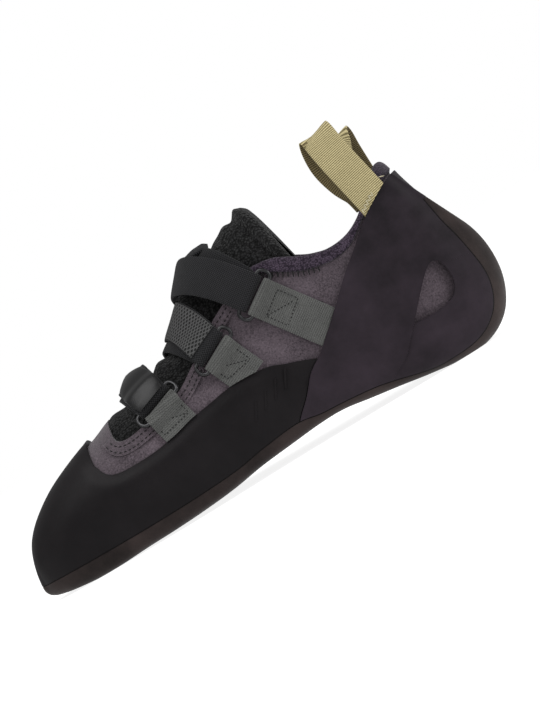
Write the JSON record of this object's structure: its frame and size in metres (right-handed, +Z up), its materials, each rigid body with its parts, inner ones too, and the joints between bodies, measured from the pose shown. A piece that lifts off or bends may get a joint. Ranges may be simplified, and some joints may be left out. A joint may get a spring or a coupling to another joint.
{
  "type": "climbing shoe",
  "caption": "Low climbing shoe with a turned-down toe, rubber rands, hook-and-loop straps through wire rings, padded tongue and two heel pull loops.",
  "frame": {"origin": "on the floor, under the middle of the bounding box", "axes": "+X from toe to heel, +Y to the lateral side of a right shoe, +Z up"},
  "size_m": [0.2514, 0.087, 0.1228],
  "materials": {
    "sole_rubber": "matte",
    "rand_rubber": "satin",
    "microfibre": "matte",
    "footbed": "matte",
    "mesh": "matte",
    "knit": "matte",
    "grey_webbing": "matte",
    "black_webbing": "matte",
    "olive_webbing": "matte",
    "wire": "satin"
  },
  "bodies": {
    "root": {"outsole": "sole_rubber", "toe_rand": "rand_rubber", "tension_rand": "rand_rubber", "heel_cup": "rand_rubber", "upper": "microfibre", "insole": "footbed", "tongue": "mesh", "collar": "knit", "web_tab_toe": "grey_webbing", "web_tab_mid": "grey_webbing", "web_tab_top": "grey_webbing", "ring_toe": "wire", "ring_mid": "wire", "ring_top": "wire", "strap_toe": "black_webbing", "strap_mid": "black_webbing", "strap_top": "black_webbing", "pull_loop_medial": "olive_webbing", "pull_loop_lateral": "olive_webbing"}
  },
  "joints": []
}
